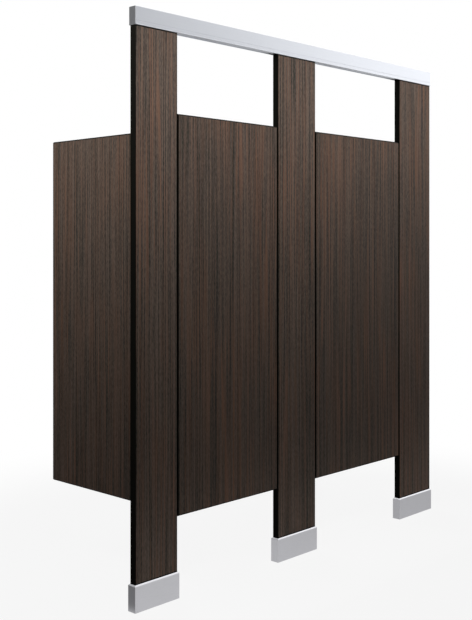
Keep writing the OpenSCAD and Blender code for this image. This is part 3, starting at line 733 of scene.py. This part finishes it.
    def finish(self, finish: Finish, body: str, replaced: Sequence[str],
               smooth_deg: float) -> None:
        """Smooths the piece but keeps its flats flat, gives it its looks, and lets it ride.

        Args:
            finish: The piece's finish.
            body: The CAD body on which it rides.
            replaced: The CAD nodes for which it stands.
            smooth_deg: The angle under which faces blend.
        """
        self.select()
        bpy.ops.object.transform_apply()
        bpy.ops.object.shade_smooth_by_angle(angle=math.radians(smooth_deg))
        self.modify("WEIGHTED_NORMAL", mode="FACE_AREA", keep_sharp=True)
        self.piece.data.materials.clear()
        self.piece.data.materials.append(finish.material())
        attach(self.piece, body)
        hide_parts(*replaced)
        LOG.info("built %s in %s", self.piece.name, finish.name)


@dataclass(frozen=True)
class Ease:
    """How the edges of a CAD copy are rounded, and the angle under which its faces blend."""

    width: float
    segments: int = 2
    over_deg: float = 35.0
    smooth_deg: float = 32.0

    def build(self, node: str, finish: Finish, body: str = FRAME, suffix: str = "eased") -> None:
        """Replaces a CAD node by a copy with rounded edges.

        Args:
            node: The CAD node.
            finish: The copy's finish.
            body: The CAD body on which it rides.
            suffix: What the copy's name adds to the node's.
        """
        model = Model.copy_of(f"{node}_{suffix}", node).soften(self)
        model.finish(finish, body, (node,), self.smooth_deg)


@dataclass(frozen=True)
class Winding:
    """A wire wound upwards about Z: its radius, sides and pitch, and the steps in one turn."""

    wire_r: float
    wire_sides: int
    pitch: float
    steps: int

    def build(self, name: str, radius: float, start: float, length: float) -> Model:
        """Winds the wire by screwing one ring round Z.

        Args:
            name: The new object's name.
            radius: Its outer radius.
            start: The height at which the wire begins.
            length: The length that whole turns may fill.

        Returns:
            The model, closed at both ends.
        """
        ring = Model.disc(name, self.wire_r, (radius - self.wire_r, 0.0, start),
                          self.wire_sides, STOOD_UP, hollow=True)
        ring.modify("SCREW", axis="Z", angle=math.tau, screw_offset=self.pitch,
                    iterations=int(length / self.pitch), steps=self.steps,
                    render_steps=self.steps, use_merge_vertices=True)
        ring.edit()
        ring.face_outwards()
        return ring


def solids_of(node: str) -> list[list[Vector]]:
    """Takes a CAD node's mesh apart into its separate solids.

    Args:
        node: The node.

    Returns:
        The corners of each solid, in the same order in each run.
    """
    solids = []
    mesh = bmesh.new()
    mesh.from_mesh(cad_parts[node].data)
    bmesh.ops.remove_doubles(mesh, verts=mesh.verts, dist=CAD_MERGE)
    waiting = dict.fromkeys(mesh.verts)
    while waiting:
        reached = [waiting.popitem()[0]]
        solid = []
        while reached:
            corner = reached.pop()
            solid.append(corner.co.copy())
            ends = (edge.other_vert(corner) for edge in corner.link_edges)
            for near in [end for end in ends if end in waiting]:
                del waiting[near]
                reached.append(near)
        solids.append(solid)
    mesh.free()
    return solids


def spans(points: Sequence[Vector]) -> tuple[Vector, Vector]:
    """Returns the lowest and the highest corner of the box round a set of points."""
    low, high = (Vector(end(p[i] for p in points) for i in range(3)) for end in (min, max))
    return low, high


def standing(foot: Vector, way: Vector) -> Matrix:
    """Returns the place of a model that stands on a point with its Z along a direction."""
    return Matrix.Translation(foot) @ UP.rotation_difference(way).to_matrix().to_4x4()


def upright(node: str) -> tuple[list[Matrix], float, float]:
    """Finds the upright round solids of a CAD node, which are all alike.

    Args:
        node: The node.

    Returns:
        The place of each solid's foot, and the radius and height of one solid.
    """
    boxes = [spans(solid) for solid in solids_of(node)]
    low, high = boxes[0]
    feet = [Vector(((l.x + h.x) / 2, (l.y + h.y) / 2, l.z)) for l, h in boxes]
    return [standing(foot, UP) for foot in feet], (high.x - low.x) / 2, high.z - low.z


def nth_round(vert: bmesh.types.BMVert, sides: int, every: int) -> bool:
    """Returns true for every nth corner of a turned model, by its direction from Z."""
    return round(math.atan2(vert.co.y, vert.co.x) / (math.tau / sides)) % every == 0


def dress(names: Iterable[str], finish: Finish) -> None:
    """Gives CAD nodes a finish in all their material slots.

    Args:
        names: The nodes.
        finish: Their finish.
    """
    for name in names:
        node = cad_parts[name]
        if not node.material_slots:
            node.data.materials.append(None)
        for slot in node.material_slots:
            slot.material = finish.material()
        LOG.info("dressed %s in %s", name, finish.name)


@dataclass
class Boards:
    """The pilasters, panels and doors: black cores with a laminate sheet on each face."""

    pilasters: tuple[str, ...] = ("pilaster_left", "pilaster_middle", "pilaster_right")
    panels: tuple[str, ...] = ("panel_left", "panel_middle", "panel_right")
    doors: tuple[str, ...] = ("door_left", "door_right")

    def dress(self) -> None:
        """Gives the cores and the sheets their finishes."""
        dress(self.pilasters + self.panels + self.doors, CORE)
        dress([f"{name}_faces" for name in self.pilasters], LAMINATE_FRONT)
        dress([f"{name}_faces" for name in self.panels], LAMINATE_PANEL)
        dress([f"{name}_faces" for name in self.doors], LAMINATE_DOOR)


@dataclass
class Headrail:
    """The extruded rail over the pilasters, its end caps and the strips that close it below."""

    rail_ease: Ease = Ease(0.5 * MM)
    cap_ease: Ease = Ease(0.35 * MM)
    strip_ease: Ease = Ease(0.25 * MM)

    def build(self) -> None:
        """Eases the edges of the rail, the caps and the strips."""
        self.rail_ease.build("headrail", HEADRAIL_METAL)
        # The caps' finish is lighter than the rail's, as painted light on their shaded end faces.
        self.cap_ease.build("headrail_end_caps", CAP_METAL_PAINTED_LIGHT)
        # The strips' finish is lighter than the rail's, as painted light against the channel's
        # shade.
        self.strip_ease.build("headrail_infills", STRIP_METAL_PAINTED_LIGHT)


@dataclass
class Shoes:
    """The folded sleeves round the pilasters' feet."""

    fold_ease: Ease = Ease(0.7 * MM)
    names: tuple[str, ...] = ("shoe_left", "shoe_middle", "shoe_right")

    def build(self) -> None:
        """Rounds the folds of each sleeve."""
        for name in self.names:
            self.fold_ease.build(name, SHOE_METAL, suffix="sleeve")


@dataclass
class Feet:
    """The foot plates, threaded studs, nuts and washers inside the shoes."""

    plate_ease: Ease = Ease(0.8 * MM)
    nut_ease: Ease = Ease(0.25 * MM)
    thread: Winding = Winding(0.6 * MM, 3, 1.5 * MM, 14)
    bare_pitches: float = 3.0
    thread_depth: float = 1.3
    foot_chamfer: Span = (0.8, 0.2)
    top_chamfer: Span = (0.7, 0.3)
    smooth_deg: float = 50.0
    plates: tuple[str, ...] = ("foot_plate_left", "foot_plate_middle", "foot_plate_right")
    rounds: tuple[str, ...] = ("levelling_nuts", "levelling_washers")

    def build(self) -> None:
        """Eases the plates, nuts and washers, and makes the studs."""
        for name in self.plates:
            self.plate_ease.build(name, PLATE_METAL, suffix="bar")
        for name in self.rounds:
            self.nut_ease.build(name, ZINC_METAL)
        self.build_studs("levelling_studs")

    def build_studs(self, node: str) -> None:
        """Turns one core, winds its thread round it, and copies it to every stud's place.

        Args:
            node: The CAD node of the studs.
        """
        places, radius, height = upright(node)
        core = radius - self.thread_depth * self.thread.wire_r
        foot_share, foot_rise = self.foot_chamfer
        top_share, top_drop = self.top_chamfer
        profile = ((core * foot_share, 0.0), (core, foot_rise * core),
                   (core, height - core * top_drop), (core * top_share, height))
        stud = Model.turned("stud", profile, self.thread.steps)
        bare = self.bare_pitches * self.thread.pitch
        stud.join([self.thread.build("thread", radius, self.thread.pitch, height - bare)])
        studs = stud.place_copies(f"{node}_threaded", places)
        studs.finish(ZINC_METAL, FRAME, (node,), self.smooth_deg)


@dataclass
class Brackets:
    """The angle brackets that hold the panels to the pilasters and the wall."""

    ease: Ease = Ease(0.4 * MM)
    names: tuple[str, ...] = ("pilaster_brackets", "wall_brackets")

    def build(self) -> None:
        """Eases the edges of both groups."""
        for name in self.names:
            self.ease.build(name, BRACKET_METAL)


@dataclass
class Screws:
    """Domed wood screws with a six-lobe socket, wherever the frame has one.

    The dome's steps are shares of the head's radius and height, the last one round the socket.
    """

    sides: int = 12
    shank_sides: int = 8
    head_h: float = 2.4 * MM
    dome: tuple[Span, ...] = ((1.0, 0.0), (1.0, 0.38), (0.86, 0.72), (0.62, 0.94), (0.46, 1.0))
    rim_share: float = 0.97
    socket_depth: float = 1.5 * MM
    lobe: float = 0.72
    lobe_every: int = 2
    tip_share: float = 0.15
    taper: float = 2.3
    smooth_deg: float = 38.0
    groups: tuple[tuple[str, str], ...] = (
        ("panel_screws", FRAME), ("frame_screws", FRAME),
        ("door_left_screws", "door_left"), ("door_right_screws", "door_right"))

    def places(self, node: str) -> tuple[list[Matrix], float, float]:
        """Finds the screws of a CAD node.

        Args:
            node: The node.

        Returns:
            Each screw's place, its foot at the tip and Z towards its head, and one screw's
            length and head radius.
        """
        found = []
        for solid in solids_of(node):
            low, high = spans(solid)
            span = high - low
            axis = max(range(3), key=lambda i: span[i])
            wide = min(span) / 2
            middle = (low + high) / 2
            rim = [p for p in solid if self.off_axis(p, middle, axis) > self.rim_share * wide]
            head = sum(p[axis] for p in rim) / len(rim)
            way = Vector([math.copysign(1.0, head - middle[axis]) if i == axis else 0.0
                          for i in range(3)])
            found.append(standing(middle - way * span[axis] / 2, way))
        return found, span[axis], wide

    @staticmethod
    def off_axis(point: Vector, middle: Vector, axis: int) -> float:
        """Returns how far a point is from the line along an axis through the middle."""
        return math.hypot(*(point[i] - middle[i] for i in range(3) if i != axis))

    def model(self, length: float, head_r: float) -> Model:
        """Turns one screw, its tip at the origin, and sinks the socket in its head.

        Args:
            length: From tip to top.
            head_r: The head's radius.

        Returns:
            The screw.
        """
        seat, shank_r = length - self.head_h, head_r / 2
        dome = [(head_r * wide, seat + self.head_h * high) for wide, high in self.dome]
        head = Model.turned("screw", dome, self.sides)
        head.edit()
        head.pick(Element.VERTS, lambda v: v.co.z > length - LEVEL_SLACK
                  and nth_round(v, self.sides, self.lobe_every))
        head.scale_across(self.lobe, length)
        head.pick(Element.FACES, lambda f: f.calc_center_median().z > length - LEVEL_SLACK)
        bpy.ops.mesh.extrude_region_move(
            TRANSFORM_OT_translate={"value": (0.0, 0.0, -self.socket_depth)})
        head.face_outwards()
        shank = ((shank_r * self.tip_share, 0.0), (shank_r, self.taper * shank_r), (shank_r, seat))
        return head.join([Model.turned("shank", shank, self.shank_sides)])

    def build(self) -> None:
        """Makes each group of screws from its own copies."""
        for node, body in self.groups:
            places, length, head_r = self.places(node)
            group = self.model(length, head_r).place_copies(f"{node}_socketed", places)
            group.finish(SCREW_METAL, body, (node,), self.smooth_deg)


@dataclass
class Hinges:
    """Self-closing hinges: leaves, pins, bushes and the springs wound inside the knuckles."""

    leaf_ease: Ease = Ease(0.35 * MM)
    pin_ease: Ease = Ease(0.2 * MM)
    wire_r: float = 0.7 * MM
    spring: Winding = Winding(wire_r, 8, 2.15 * wire_r, 20)
    smooth_deg: float = 60.0

    def build(self, side: Side) -> None:
        """Builds one door's hinges.

        Args:
            side: The door.
        """
        door = f"door_{side.value}"
        self.leaf_ease.build(f"hinge_leaves_fixed_{side.value}", HINGE_METAL)
        self.leaf_ease.build(f"hinge_leaves_door_{side.value}", HINGE_METAL, door)
        self.pin_ease.build(f"hinge_pins_{side.value}", PIN_METAL)
        dress([f"hinge_bushes_{side.value}"], NYLON)
        self.build_springs(f"hinge_springs_{side.value}", door)

    def build_springs(self, node: str, body: str) -> None:
        """Winds one close coil and copies it into each knuckle.

        Args:
            node: The CAD node of the springs.
            body: The body of their door.
        """
        places, radius, height = upright(node)
        coil = self.spring.build("coil", radius, self.wire_r, height - 2.0 * self.wire_r)
        coils = coil.place_copies(f"{node}_wound", places)
        coils.finish(SPRING_STEEL, body, (node,), self.smooth_deg)


@dataclass
class Latches:
    """Slide latches: cast cases, flat bolts, fluted knobs and the keepers on the pilasters.

    The knob's heights are in mm. Each of its steps is a share of its radius and a height: from
    the bolt for the stem, from the neck's end for the grip, and down from the top for the cap.
    """

    case_ease: Ease = Ease(0.6 * MM)
    bolt_ease: Ease = Ease(0.3 * MM)
    keeper_ease: Ease = Ease(0.35 * MM)
    neck: float = 11.5
    stem: tuple[Span, ...] = ((0.27, 0.0), (0.27, 6.4), (0.44, 6.4), (0.44, neck))
    grip: tuple[Span, ...] = ((0.72, 0.8), (0.76, 1.6), (0.70, 4.8), (0.82, 7.5), (0.97, 9.6),
                              (1.0, 10.6))
    cap: tuple[Span, ...] = ((1.0, 2.2), (0.95, 0.9), (0.84, 0.1), (0.80, 0.0), (0.55, 0.0),
                             (0.5, 0.5))
    knob_sides: int = 48
    flute: float = 0.93
    flute_every: int = 4
    flute_from: float = 9.0
    flute_below: float = 1.5
    smooth_deg: float = 40.0

    def build(self, side: Side) -> None:
        """Builds one door's latch and its keeper.

        Args:
            side: The door.
        """
        slide = f"latch_{side.value}"
        self.case_ease.build(f"latch_case_{side.value}", LATCH_METAL, f"door_{side.value}")
        self.bolt_ease.build(f"latch_bolt_{side.value}", BOLT_METAL, slide)
        self.keeper_ease.build(f"latch_keeper_{side.value}", LATCH_METAL)
        self.build_knob(f"latch_knob_{side.value}", slide)

    def build_knob(self, node: str, body: str) -> None:
        """Turns a knob, cuts flutes round its grip and stands it on the bolt.

        Args:
            node: The CAD node of the knob.
            body: The body of the bolt.
        """
        low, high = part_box(node)
        length, radius = high.y - low.y, (high.x - low.x) / 2
        profile = [(radius * share, rise * MM) for share, rise in self.stem]
        profile += [(radius * share, (self.neck + rise) * MM) for share, rise in self.grip]
        profile += [(radius * share, length - drop * MM) for share, drop in self.cap]
        knob = Model.turned("knob", profile, self.knob_sides)
        knob.edit()
        first, last = (self.neck + self.flute_from) * MM, length - self.flute_below * MM
        knob.pick(Element.VERTS, lambda v: first < v.co.z < last
                  and nth_round(v, self.knob_sides, self.flute_every))
        knob.scale_across(self.flute, 0.0)
        knob.leave()
        foot = Vector(((low.x + high.x) / 2, low.y, (low.z + high.z) / 2))
        turned = knob.place_copies(f"{node}_fluted", [standing(foot, INWARDS)])
        turned.finish(LATCH_METAL, body, (node,), self.smooth_deg)


@dataclass
class DoorStops:
    """Joggled stops that lap the pilasters, and the rubber parts of each door."""

    ease: Ease = Ease(0.4 * MM)
    rubber_ease: Ease = Ease(0.5 * MM, 3, smooth_deg=45.0)

    def build(self, side: Side) -> None:
        """Builds one door's stop and its rubber button and hook cap.

        Args:
            side: The door.
        """
        door = f"door_{side.value}"
        self.ease.build(f"door_stop_{side.value}", LATCH_METAL, door)
        self.rubber_ease.build(f"rubber_buffers_{side.value}", RUBBER, door, "moulded")


@dataclass
class CoatHooks:
    """Cast coat hooks: a plate, an arm with a rubber cap and a bent rod with a ball end."""

    ease: Ease = Ease(0.7 * MM, 3, 50.0, 45.0)

    def build(self, side: Side) -> None:
        """Builds one door's hook."""
        self.ease.build(f"coat_hook_{side.value}", LATCH_METAL, f"door_{side.value}", "cast")


@dataclass(frozen=True)
class Lamp:
    """A soft rectangular lamp that faces a point."""

    name: str
    place: Triple
    target: Triple
    size: Span
    power: float
    spread_deg: float = 180.0
    mirrored: bool = True

    def build(self) -> None:
        """Adds the lamp, unseen by the camera."""
        data = bpy.data.lights.new(self.name, "AREA")
        data.shape = "RECTANGLE"
        data.size, data.size_y = self.size
        data.energy = self.power
        data.spread = math.radians(self.spread_deg)
        lamp = bpy.data.objects.new(self.name, data)
        lamp.location = self.place
        way = Vector(self.target) - Vector(self.place)
        lamp.rotation_euler = way.to_track_quat("-Z", "Y").to_euler()
        lamp.visible_camera = False
        lamp.visible_glossy = self.mirrored
        bpy.context.scene.collection.objects.link(lamp)


@dataclass
class Studio:
    """Pale floor, white surroundings, soft lamps and the photograph's camera.

    The mirror values are strengths that only reflections see. A pair in a _x or _way field is
    where on X, or in which direction, one of them fades into the next.
    """

    lamps: tuple[Lamp, ...] = (
        Lamp("front_strip", (-0.25, -1.5, 2.5), (-0.25, 0.0, 2.1), (3.7, 0.7), 25.5, 150.0, False),
        Lamp("top_strip", (-0.2, -1.1, 2.7), (-0.2, 0.0, 1.9), (3.6, 0.3), 6.5, 60.0, False),
        Lamp("foot_strip", (0.1, -0.5, 0.06), (0.1, 0.0, 0.1), (3.4, 0.1), 1.0, 90.0, False),
        Lamp("left_strip", (-2.2, 0.3, 2.4), (-0.75, 0.3, 2.1), (1.4, 0.5), 21.5, 130.0, False),
        Lamp("key", (-2.2, -3.3, 4.0), (-0.3, 0.0, 1.5), (2.6, 1.6), 5.0),
        Lamp("right_fill", (4.4, -2.6, 2.6), (0.9, 0.0, 2.0), (1.8, 2.2), 4.0),
        Lamp("rear", (1.6, 4.2, 3.6), (0.1, 0.3, 1.1), (2.6, 1.6), 90.0),
    )
    ambient: float = 0.02
    mirror_left: float = 0.131
    mirror_middle: float = 0.48
    mirror_right: float = 1.66
    mirror_above: float = 0.85
    middle_way: Span = (-0.7, 0.2)
    right_way: Span = (0.5, 0.95)
    above_way: Span = (0.4, 0.8)
    # Painted shade in reflections: to reflections the floor glows dimmer left of a step on X and
    # fades dimmer towards the right, standing in for the shadow and falloff that the shoes mirror.
    floor_left: float = 0.23
    floor_mirror: float = 0.75
    floor_mirror_painted_falloff: float = 0.16
    floor_step_x: Span = (-0.94, -0.86)
    floor_fade_x: Span = (-0.8, 1.3)
    floor_tone: float = 0.5
    floor_white: float = 0.9
    floor_size: float = 160.0
    floor_cells: int = 8
    shadow_ends: Span = (1.3, 2.6)
    image: tuple[int, int] = (472, 620)
    focal_px: float = 986.95
    horizon_px: float = 242.98
    yaw_deg: float = 46.44
    camera_at: Triple = (-3.1500, -2.6592, 1.3003)
    sensor: float = 36.0

    def build(self) -> None:
        """Adds the floor, the surroundings, the lamps and the camera."""
        self.add_floor()
        self.light_surroundings()
        for lamp in self.lamps:
            lamp.build()
        self.add_camera()

    def add_floor(self) -> None:
        """Adds a pale floor that keeps the object's shadow and turns plain white far off."""
        bpy.ops.object.select_all(action="DESELECT")
        bpy.ops.mesh.primitive_grid_add(x_subdivisions=self.floor_cells,
                                        y_subdivisions=self.floor_cells, size=self.floor_size)
        floor = bpy.context.active_object
        floor.name = "floor"
        material = bpy.data.materials.new("floor_white")
        material.use_nodes = True
        bench = NodeBench(material.node_tree)
        camera_ray, mirrored = bench.rays_that_see()
        where = bench.place()
        away = bench.add("ShaderNodeVectorMath", {0: where}, "Value", operation="LENGTH")
        far = bench.spread(away, self.shadow_ends)
        whiter = camera_ray * (self.floor_white + far * (1.0 - self.floor_white))
        lit = bench.add("ShaderNodeBsdfDiffuse", {"Color": (self.floor_tone,) * 3 + (1.0,)})
        white = bench.add("ShaderNodeEmission", {"Strength": 1.0})
        across = bench.add("ShaderNodeSeparateXYZ", {"Vector": where}, "X")
        # Painted shade: the floor's glow in reflections drops left of the step and fades towards
        # the right.
        step = bench.spread(across, self.floor_step_x) * (self.floor_mirror - self.floor_left)
        step = step - bench.spread(across, self.floor_fade_x) * self.floor_mirror_painted_falloff
        mirror = bench.add("ShaderNodeEmission", {"Strength": self.floor_left + step})
        seen = bench.add("ShaderNodeMixShader", {0: whiter, 1: lit, 2: white})
        both = bench.add("ShaderNodeMixShader", {0: mirrored, 1: seen, 2: mirror})
        bench.node("ShaderNodeOutputMaterial", {"Surface": both})
        floor.data.materials.append(material)

    def light_surroundings(self) -> None:
        """Makes the world white to the camera, and mirrored brighter on the right and above."""
        world = bpy.data.worlds.new("studio")
        world.use_nodes = True
        bpy.context.scene.world = world
        bench = NodeBench(world.node_tree)
        camera_ray, mirrored = bench.rays_that_see()
        way = bench.add("ShaderNodeTexCoord", None, "Generated")
        parts = bench.node("ShaderNodeSeparateXYZ", {"Vector": way})
        along, height = bench.wire(parts, "X"), bench.wire(parts, "Z")
        middle = bench.spread(along, self.middle_way) * (self.mirror_middle - self.mirror_left)
        right = bench.spread(along, self.right_way) * (self.mirror_right - self.mirror_middle)
        above = bench.spread(height, self.above_way) * self.mirror_above
        level = camera_ray + mirrored * (self.mirror_left + middle + right + above)
        level = level + (1.0 - camera_ray) * (1.0 - mirrored) * self.ambient
        light = bench.add("ShaderNodeBackground", {"Color": (1.0,) * 4, "Strength": level})
        bench.node("ShaderNodeOutputWorld", {"Surface": light})

    def add_camera(self) -> None:
        """Adds the level camera of the photograph, its picture moved up or down by a shift."""
        data = bpy.data.cameras.new("photo_camera")
        longer = max(self.image)
        data.sensor_width = self.sensor
        data.lens = self.sensor * self.focal_px / longer
        data.shift_y = (self.horizon_px - self.image[1] / 2) / longer
        data.clip_end = self.floor_size
        camera = bpy.data.objects.new("photo_camera", data)
        camera.location = self.camera_at
        camera.rotation_euler = (math.radians(90.0), 0.0, -math.radians(self.yaw_deg))
        bpy.context.scene.collection.objects.link(camera)
        bpy.context.scene.camera = camera


def main() -> None:
    """Builds the studio and every sub-assembly."""
    logging.basicConfig(level=logging.INFO, format="%(message)s")
    bpy.context.scene.view_settings.view_transform = "Standard"
    Studio().build()
    Boards().dress()
    Headrail().build()
    Shoes().build()
    Feet().build()
    Brackets().build()
    Screws().build()
    for side in Side:
        Hinges().build(side)
        Latches().build(side)
        DoorStops().build(side)
        CoatHooks().build(side)


if __name__ == "__main__":
    main()
